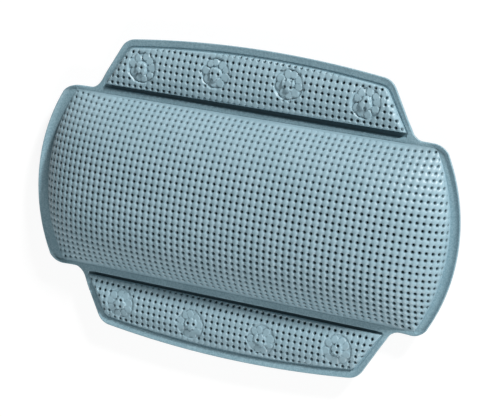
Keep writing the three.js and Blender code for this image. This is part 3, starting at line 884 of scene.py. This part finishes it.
def flap_puff(spots, pressure):
    """Cloth over a flap's pad, welded down along its edges and in its spots."""
    rows, columns = FLAP_GRID
    b, a = np.meshgrid(np.linspace(0, 1, rows), np.linspace(-1, 1, columns), indexing="ij")
    y = PAD_INNER + b * (flap_edge(0.0, FLAP_BORDER) - PAD_INNER)
    x = a * flap_side(y, FLAP_BORDER)
    y = PAD_INNER + b * (flap_edge(x, FLAP_BORDER) - PAD_INNER)
    points = np.stack([x, y, np.full_like(x, FLAP_TOP)], -1).reshape(-1, 3)
    welded = [np.hypot(points[:, 0] - sx, points[:, 1] - sy) < SPOT_RADIUS for sx, sy in spots]
    pinned = np.unique(np.r_[grid_rim(rows, columns), np.flatnonzero(np.any(welded, 0))])
    change = puffed("flap_sheet", points, grid_faces(rows, columns)[:, ::-1], pinned, pressure, FLAP_PUFF_CAP)
    return change.reshape(rows, columns, 3)


print("flap cloth of", FLAP_GRID[0] * FLAP_GRID[1], "points")

# %% [markdown]
# ## Flap pads
# A flap's pad is a thin puffed panel with four weld spots. It is worked out on the upper side; the lower flap
# is the same panel turned half a turn, with its own lie of the weave and shallower welds.

# %% Flap pads
FLAP_CELL = np.array([5.08, 5.3]) * MM
FLAP_SHARES = np.arange(10) / 10
PAD_MIDDLE, PAD_HALF_DEPTH = 98 * MM, 26 * MM
PAD_ROUND, PUFF_RUN = 1.6 * MM, 13 * MM
PAD_RISE = FLAP_TOP - BORDER_TOP


def flap_pad(name, spots, phase, ring_depth, bump_height, fold_share, edge_share, seed, half_turn):
    """A flap's pad, whose height at its edges is a share of that in its middle."""
    reach = np.array([flap_side(PAD_INNER, FLAP_BORDER), PAD_HALF_DEPTH]) / FLAP_CELL
    u, v = lattice(-reach - 1, reach + 1, FLAP_SHARES)
    along, across = on_sheet(u, v, FLAP_CELL, phase)
    plan = np.stack([along, across + PAD_MIDDLE], -1).reshape(-1, 2)
    depth, nearest = to_outline(plan, FLAP_PAD_LOOP)
    beyond = (plan[:, 1] < PAD_INNER) | (np.abs(plan[:, 0]) > flap_side(plan[:, 1], FLAP_BORDER))
    outside = ((depth <= 0.08 * MM) | beyond).reshape(u.shape)
    plan = np.where(outside.reshape(-1, 1), nearest, plan)
    depth = np.where(outside.ravel(), 0, depth)
    x, y = plan.T
    edge = np.clip(depth / PAD_ROUND, 0, 1)
    to_side = (flap_side(y, FLAP_BORDER) - np.abs(x)) / math.hypot(1, SIDE_SLOPE)
    to_edge = np.minimum(flap_edge(x, FLAP_BORDER) - y, 3 * to_side)
    from_edge = edge_share + (1 - edge_share) * ease(to_edge, 0, PUFF_RUN)
    from_fold = fold_share + (1 - fold_share) * ease(y - PAD_INNER, 0, PUFF_RUN)
    rise = PAD_RISE * np.minimum(from_edge, from_fold)
    puff = flap_puff(spots, pressure=3.0)
    b = (y - PAD_INNER) / (flap_edge(x, FLAP_BORDER) - PAD_INNER)
    a = x / flap_side(PAD_INNER + b * (flap_edge(0.0, FLAP_BORDER) - PAD_INNER), FLAP_BORDER)
    row, column = np.clip(b, 0, 1) * (FLAP_GRID[0] - 1), (np.clip(a, -1, 1) + 1) / 2 * (FLAP_GRID[1] - 1)
    change = cubic(puff, row, column)
    lift, mask, crease = spot_relief(x, y, spots, ring_depth, bump_height, seed)
    z = BORDER_TOP + (rise + lift) * np.sqrt(1 - np.square(1 - edge)) + change[:, 2] * edge
    mask = mask * ease(depth, 0.1 * MM, 0.6 * MM)
    places = np.stack([x, y, z], -1)
    if half_turn:
        places[:, :2] *= -1
    weave = np.stack([u.ravel(), v.ravel(), mask], -1)
    return embossed_sheet(name, places, outside, weave, crease, WELD_Z)


upper_pad = flap_pad(
    "upper_flap_pad", spot_places("upper"), phase=(0.482, 0.712), ring_depth=1.5 * MM, bump_height=1.2 * MM,
    fold_share=0.6, edge_share=0.45, seed=11, half_turn=False,
)
lower_pad = flap_pad(
    "lower_flap_pad", [(-x, -y) for x, y in spot_places("lower")], phase=(0.566, 0.49),
    ring_depth=0.7 * MM, bump_height=0.5 * MM, fold_share=0.2, edge_share=0.4, seed=23, half_turn=True,
)

# %% [markdown]
# ## Welded borders
# Round every pad the front and back sheets are welded into a thin smooth border. Its section runs from a
# narrow groove beside the pad, over the flat, to a rounded outer lip. Two outlines with the same number of
# points, one on the pad and one on the rim, carry that section round the panel.

# %% Welded borders
HAIRLINE = 0.05 * MM
RIM_REACH = 1 * MM
FOLD_GROOVE = 1.45 * MM
CURL_RUN = 6 * MM
SHARP_ANGLE = math.radians(50)


def across_border(inner, outer, shares, free):
    """Places on the way from the inner outline to the outer one, which meets a free edge squarely."""
    ahead = np.roll(outer, -1, 0)
    run = ahead - np.roll(outer, 1, 0)
    area = (outer[:, 0] * ahead[:, 1] - outer[:, 1] * ahead[:, 0]).sum()
    inwards = np.stack([-run[:, 1], run[:, 0]], -1) * np.sign(area)
    inwards /= np.maximum(np.linalg.norm(run, axis=1, keepdims=True), 1e-9)
    reach = np.minimum(RIM_REACH * free[:, None], np.linalg.norm(outer - inner, axis=1, keepdims=True) / 2)
    middle = outer + inwards * reach
    first, last = np.linalg.norm(middle - inner, axis=1), np.linalg.norm(outer - middle, axis=1)
    width = (first + last)[:, None]
    gone = shares * width
    to_middle = np.minimum(1, gone / np.maximum(first, 1e-9)[:, None])[..., None]
    to_outer = np.clip((gone - first[:, None]) / np.maximum(last, 1e-9)[:, None], 0, 1)[..., None]
    places = inner[:, None] + (middle - inner)[:, None] * to_middle + (outer - middle)[:, None] * to_outer
    return places, width


def curled(rest, curl):
    """Rise of the border towards its outer edge, at a distance from that edge."""
    return curl[:, None] * np.square(1 - np.clip(rest / CURL_RUN, 0, 1))


LIP_ROUND = 0.9 * MM
SECTION = np.array([
    0, 0.03, 0.07, 0.12, 0.18, 0.25, 0.3, 0.35, 0.4, 0.45, 0.5,
    0.56, 0.63, 0.72, 0.8, 0.87, 0.92, 0.95, 0.975, 0.99, 1,
])


def border_ring(name, inner, outer, groove, groove_width, lip, curl):
    """A closed border between two outlines; groove is its depth and lip its rounding at each point."""
    start = HAIRLINE / np.maximum(np.linalg.norm(outer - inner, axis=1, keepdims=True), 1e-9)
    share = start + (1 - start) * SECTION
    plan, width = across_border(inner, outer, share, lip)
    depth, rest = share * width, (1 - share) * width
    dip = groove[:, None] * (1 - ease(depth / groove_width[:, None], 0.75, 1.0))
    to_lip = np.clip(LIP_ROUND - rest, 0, LIP_ROUND)
    roll = LIP_ROUND - np.sqrt(np.maximum(LIP_ROUND**2 - np.square(to_lip), 0))
    rise = curled(rest, curl)
    upper = np.dstack([plan, BORDER_TOP - dip - roll * lip[:, None] + rise])
    lower = np.dstack([plan, BACK_TOP + HAIRLINE + rise])[:, ::-1]
    section = np.concatenate([upper, lower], 1)
    count, points = section.shape[:2]
    here = np.arange(count)[:, None] * points + np.arange(points)
    ahead = np.roll(here, -1, 0)
    faces = np.stack([here, np.roll(here, -1, 1), np.roll(ahead, -1, 1), ahead], -1).reshape(-1, 4)
    obj = mesh_object(name, section.reshape(-1, 3), faces, WELDED)
    # Painted shade in the groove, growing with its depth, stored as the crease mask.
    crease = obj.data.attributes.new("crease", "FLOAT", "POINT")
    shade = np.square(dip / FOLD_GROOVE)
    crease.data.foreach_set("value", np.concatenate([shade, shade[:, ::-1]], 1).astype(np.float32).ravel())
    return tidied(obj, 0.01 * MM, SHARP_ANGLE)


print("border section of", len(SECTION), "points")

# %% [markdown]
# ## The bolster's border
# One quarter of the bolster's outline is worked out and mirrored. Beside a flap only a narrow lip is left,
# because the strip there belongs to the flap's border. The left end is a little wider, as in the photograph.

# %% The bolster's border
CORNER_RADIUS = 15 * MM
END_CURL, LEFT_EXTRA = 2.2 * MM, 2 * MM
QUARTER_COUNTS = (14, 22, 70)  # side, corner and half of the end
STRIP_COUNT, BOLSTER_FREE_RUN = 122, 8


def bolster_quarter(root, edge_y, border, radius):
    """A quarter of a bolster outline, from its root at the notch round the corner to the tip of the end."""
    corner = np.array([end_arc(edge_y) - border, edge_y])
    lean = math.asin(edge_y / END_ARC_RADIUS)
    down = np.array([math.sin(lean), -math.cos(lean)])
    arc, start, end = arc_between(corner, np.array([1.0, 0]), down, radius, QUARTER_COUNTS[1])
    ys = np.linspace(end[1], 0, 80)
    tip = np.stack([end_arc(ys) - border, ys], -1)
    side = evenly([root[-1], start], QUARTER_COUNTS[0])
    return np.vstack([root, side[1:], arc[1:-1], evenly(tip, QUARTER_COUNTS[2])])


def closed_bolster(quarter, strip_y):
    """The whole bolster outline, drawn in to a narrow lip where a flap's strip adjoins."""
    xs = np.linspace(-STRIP_END, STRIP_END, STRIP_COUNT)[1:-1]
    strip = np.stack([xs, np.full_like(xs, strip_y)], -1)
    half = np.vstack([strip, quarter, (quarter * (1, -1))[::-1][1:]])
    return np.vstack([half, half * (-1, -1)])


outer_root = np.vstack([SEAM, bolster_notch[1:]])
pad_root = evenly([(STRIP_END, PAD_EDGE), (notch_start[0], PAD_EDGE)], len(outer_root))
BOLSTER_PAD_LOOP = closed_bolster(bolster_quarter(pad_root, PAD_EDGE, END_BORDER, 0.01 * MM), PAD_EDGE)
outer_quarter = bolster_quarter(outer_root, BORDER_Y, 0.0, CORNER_RADIUS)
BOLSTER_OUTER_LOOP = closed_bolster(outer_quarter, STRIP_START - HAIRLINE)
left_end = ease(-BOLSTER_OUTER_LOOP[:, 0], notch_start[0] + 4 * MM, notch_start[0] + 24 * MM)
BOLSTER_OUTER_LOOP[:, 0] -= LEFT_EXTRA * left_end
quarter_free = np.clip((np.arange(len(outer_quarter)) - len(SEAM) + 1) / BOLSTER_FREE_RUN, 0, 1)
BOLSTER_FREE = np.tile(np.r_[np.zeros(STRIP_COUNT - 2), quarter_free, quarter_free[::-1][1:]], 2)
past_notch = np.abs(BOLSTER_OUTER_LOOP[:, 0]) - notch_start[0]
BOLSTER_CURL = END_CURL * ease(past_notch, 2 * MM, 16 * MM)
count = len(BOLSTER_PAD_LOOP)
bolster_border = border_ring(
    "bolster_border", BOLSTER_PAD_LOOP, BOLSTER_OUTER_LOOP,
    np.full(count, 0.1 * MM), np.full(count, 1.2 * MM), BOLSTER_FREE, BOLSTER_CURL,
)

# %% [markdown]
# ## The flaps' borders
# Along the fold a flap's border has a deep groove, its living hinge, with shade painted in it. The upper
# flap's groove, and so its painted shade, widens to the right as in the photograph; the lower flap's is
# narrow throughout.

# %% The flaps' borders
SIDE_GROOVE, SIDE_GROOVE_WIDTH = 0.5 * MM, 1.8 * MM
FLAP_CURL = 1.2 * MM


def smoothed(values, span):
    """A closed run of values, eased over a span of points."""
    kernel = np.ones(span) / span
    return np.convolve(np.r_[values[-span:], values, values[:span]], kernel, "same")[span:-span]


along_fold = np.arange(len(FLAP_PAD_LOOP)) < FOLD_COUNT
groove = smoothed(np.where(along_fold, FOLD_GROOVE, SIDE_GROOVE), 9)
FLAP_CURLS = FLAP_CURL * ease(FLAP_OUTER_LOOP[:, 1], FOLD_Y + 5 * MM, FOLD_Y + 16 * MM)


def flap_border(name, turn, fold_widths):
    """A flap's border, whose fold groove goes from one width at its first end to another at its last."""
    along = np.clip(FLAP_PAD_LOOP[:, 0] / STRIP_END / 2 + 0.5, 0, 1)
    fold_width = fold_widths[0] + (fold_widths[1] - fold_widths[0]) * along
    width = smoothed(np.where(along_fold, fold_width, SIDE_GROOVE_WIDTH), 9)
    inner, outer = turn * FLAP_PAD_LOOP, turn * FLAP_OUTER_LOOP
    return border_ring(name, inner, outer, groove, width, FLAP_FREE, FLAP_CURLS)


upper_border = flap_border("upper_flap_border", 1, (3.6 * MM, 5.2 * MM))
lower_border = flap_border("lower_flap_border", -1, (2.8 * MM, 2.8 * MM))

# %% [markdown]
# ## Backs
# The back is a plain sheet. Under the bolster it bellies out to the flat that lies on the tub; under the
# flaps it is level, with the suction cups' necks through it. Rings of points between the outline and a spine
# along the middle fill any such plan with clean four-sided faces.

# %% Backs
RIM_RINGS, MIDDLE_RINGS = np.linspace(0, 1, 20), np.linspace(0, 1, 20)[1:]
BACK_RUN_ACROSS, BACK_RUN_ALONG = 26 * MM, 40 * MM
BACK_ROUND = 0.9 * MM
SPINE_SHARE = 0.8


def bolster_back_z(x, y):
    across = np.sin(np.clip((PAD_EDGE - np.abs(y)) / BACK_RUN_ACROSS, 0, 1) * math.pi / 2)
    along = np.sin(np.clip((end_arc(y) - END_BORDER - np.abs(x)) / BACK_RUN_ALONG, 0, 1) * math.pi / 2)
    return BACK_Z * (1 - across * along)


def back_sheet(name, outer, inner, free, curl, spine_y, height):
    widest = np.abs(inner[np.argmin(np.abs(inner[:, 1] - spine_y)), 0])
    spine = np.stack([np.clip(inner[:, 0], -widest, widest) * SPINE_SHARE, np.full(len(inner), spine_y)], -1)
    shares = np.broadcast_to(1 - RIM_RINGS, (len(outer), len(RIM_RINGS)))
    rim, width = across_border(inner, outer, shares, free)
    middle = inner[:, None] + (spine - inner)[:, None] * MIDDLE_RINGS[:, None]
    plan = np.concatenate([rim, middle], 1)
    bottom = height(plan[..., 0], plan[..., 1])
    bottom[:, :len(RIM_RINGS)] += curled(RIM_RINGS * width, curl)
    under = np.dstack([plan, bottom])
    under[:, 0, 2] += BACK_ROUND
    over = np.dstack([plan, bottom + BACK_TOP - BACK_Z])
    count, rings = plan.shape[:2]
    points = np.concatenate([over.reshape(-1, 3), under.reshape(-1, 3)])
    here = np.arange(count)[:, None] * rings + np.arange(rings)
    ahead = np.roll(here, -1, 0)
    quads = np.stack([here[:, :-1], here[:, 1:], ahead[:, 1:], ahead[:, :-1]], -1).reshape(-1, 4)
    under_start = count * rings
    wall = np.stack([here[:, 0], ahead[:, 0], ahead[:, 0] + under_start, here[:, 0] + under_start], -1)
    obj = mesh_object(name, points, np.concatenate([quads, quads[:, ::-1] + under_start, wall]), BACKING)
    return tidied(obj, 0.02 * MM, SHARP_ANGLE)


def flap_back_z(x, y):
    return np.full_like(x, BACK_Z)


def flap_back(name, turn):
    inner, outer = turn * FLAP_PAD_LOOP, turn * FLAP_OUTER_LOOP
    spine_y = turn * (PAD_INNER + FLAP_REACH) / 2
    return back_sheet(name, outer, inner, FLAP_FREE, FLAP_CURLS, spine_y, flap_back_z)


bolster_back = back_sheet(
    "bolster_back", BOLSTER_OUTER_LOOP, BOLSTER_PAD_LOOP, BOLSTER_FREE, BOLSTER_CURL, 0.0, bolster_back_z,
)
upper_back, lower_back = flap_back("upper_flap_back", 1), flap_back("lower_flap_back", -1)

# %% [markdown]
# ## Suction cups
# A suction cup is turned from one section: a thin bell with a flat rim, a neck through the back sheet and a
# flat head inside the weld. One cup is turned in mesh code, and a node tree sets it on the four points of a
# flap, so that a change to the section changes all eight.

# %% Suction cups
cup_low, cup_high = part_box("upper_suction_cup_1")
CUP_RADIUS = (cup_high.y - cup_low.y) / 2
CUP_TOP = cup_high.z
CUP_SECTION = [
    (0.0, 3.8), (3.4, 3.4), (7.0, 2.6), (10.5, 1.4), (12.6, 0.35), (13.4, 0.0), (14.6, 0.0), (15.0, 0.25),
    (14.9, 0.7), (13.2, 1.7), (11.2, 3.0), (9.0, 4.5), (7.2, 6.1), (6.2, 7.4), (5.4, 8.4), (4.6, 8.8),
    (3.2, 8.9), (2.9, 9.3), (2.9, 10.2), (3.3, 10.6), (4.4, 10.75), (4.6, 11.1), (4.6, 12.1), (4.3, 12.55),
    (3.6, 12.7), (0.0, 12.7),
]
CUP_SECTION_RADIUS, CUP_SECTION_HEIGHT = 15.0, 12.7
TURNS = 48


def turned_cup():
    wide, tall = CUP_RADIUS / CUP_SECTION_RADIUS, CUP_TOP / CUP_SECTION_HEIGHT
    around = [(math.cos(t), math.sin(t)) for t in np.arange(TURNS) * math.tau / TURNS]
    points = [(r * wide * x, r * wide * y, z * tall) for r, z in CUP_SECTION for x, y in around]
    faces = []
    for ring in range(0, TURNS * (len(CUP_SECTION) - 1), TURNS):
        for a, b in ((ring + i, ring + (i + 1) % TURNS) for i in range(TURNS)):
            faces.append((a, b, b + TURNS, a + TURNS))
    return tidied(mesh_object("cup_pattern", points, faces), 0.01 * MM)


def cup_row_tree():
    tree = bpy.data.node_groups.new("cup_row", "GeometryNodeTree")
    for kind, name in (("Geometry", "Geometry"), ("Object", "Cup"), ("Material", "Material")):
        add_sockets(tree, "INPUT", kind, name)
    add_sockets(tree, "OUTPUT", "Geometry", "Geometry")
    g = Graph(tree)
    given = g.add("NodeGroupInput").outputs
    cup = g.add("GeometryNodeObjectInfo", {"Object": given["Cup"]})
    dots = g.add("GeometryNodeMeshToPoints", {"Mesh": given["Geometry"]})
    shape = cup.outputs["Geometry"]
    row = g.add("GeometryNodeInstanceOnPoints", {"Points": dots.outputs[0], "Instance": shape})
    real = g.add("GeometryNodeRealizeInstances", {"Geometry": row.outputs[0]})
    dressed = g.add("GeometryNodeSetMaterial", {"Geometry": real.outputs[0], "Material": given["Material"]})
    g.add("NodeGroupOutput", {"Geometry": dressed.outputs[0]})
    return tree


def cup_material():
    material = bpy.data.materials.new("cup_pvc")
    material.use_nodes = True
    g = Graph(material.node_tree)
    shader = material.node_tree.nodes["Principled BSDF"]
    place = g.add("ShaderNodeTexCoord").outputs["Object"]
    cloud = g.add("ShaderNodeTexNoise", {"Vector": place, "Scale": 120.0, "Detail": 2.0})
    haze = cloud.outputs["Fac"]
    g.plug(g.blend(haze, (0.55, 0.66, 0.69, 1), (0.66, 0.76, 0.78, 1)), shader.inputs["Base Color"])
    g.plug(g.ease(haze, 0.3, 0.7, 0.16, 0.26), shader.inputs["Roughness"])
    shader.inputs["Coat Weight"].default_value = 0.3
    return material


CUP_ROW, CUP_PVC = cup_row_tree(), cup_material()
cup_pattern = turned_cup()


def cup_row(flap):
    dots = [(x, y, 0.0) for x, y in spot_places(flap)]
    row = mesh_object(flap + "_suction_cups", dots, [])
    return as_plain_mesh(row, CUP_ROW, {"Cup": cup_pattern, "Material": CUP_PVC})


upper_cups, lower_cups = cup_row("upper"), cup_row("lower")
bpy.data.objects.remove(cup_pattern)
print("cups", len(upper_cups.data.polygons), "faces a flap")

# %% [markdown]
# ## Putting the pieces on the frame
# Pads and cups ride on their bodies, and so do the bolster's border and back. The flaps' borders and backs
# cross the fold; their places are baked into their meshes, and they ride on no body. The solids that the
# pieces stand for are hidden.

for piece, nodes, slot in (
    (bolster_pad, ("bolster_front_cover", "bolster_foam_core"), "front_vinyl"),
    (bolster_border, (), "front_vinyl"),
    (bolster_back, ("bolster_back_cover",), "back_vinyl"),
):
    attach(piece, "bolster")
    if nodes:
        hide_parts(*nodes)

for flap, side, pad, border, back, cups in (
    ("upper", 1, upper_pad, upper_border, upper_back, upper_cups),
    ("lower", -1, lower_pad, lower_border, lower_back, lower_cups),
):
    body = flap + "_flap"
    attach(pad, body)
    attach(cups, body)
    for piece in (border, back):
        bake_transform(piece)
    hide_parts(body + "_front_cover", body + "_foam_pad")
    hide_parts(body + "_back_cover")
    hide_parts(*("%s_suction_cup_%d" % (flap, i) for i in range(1, 5)))
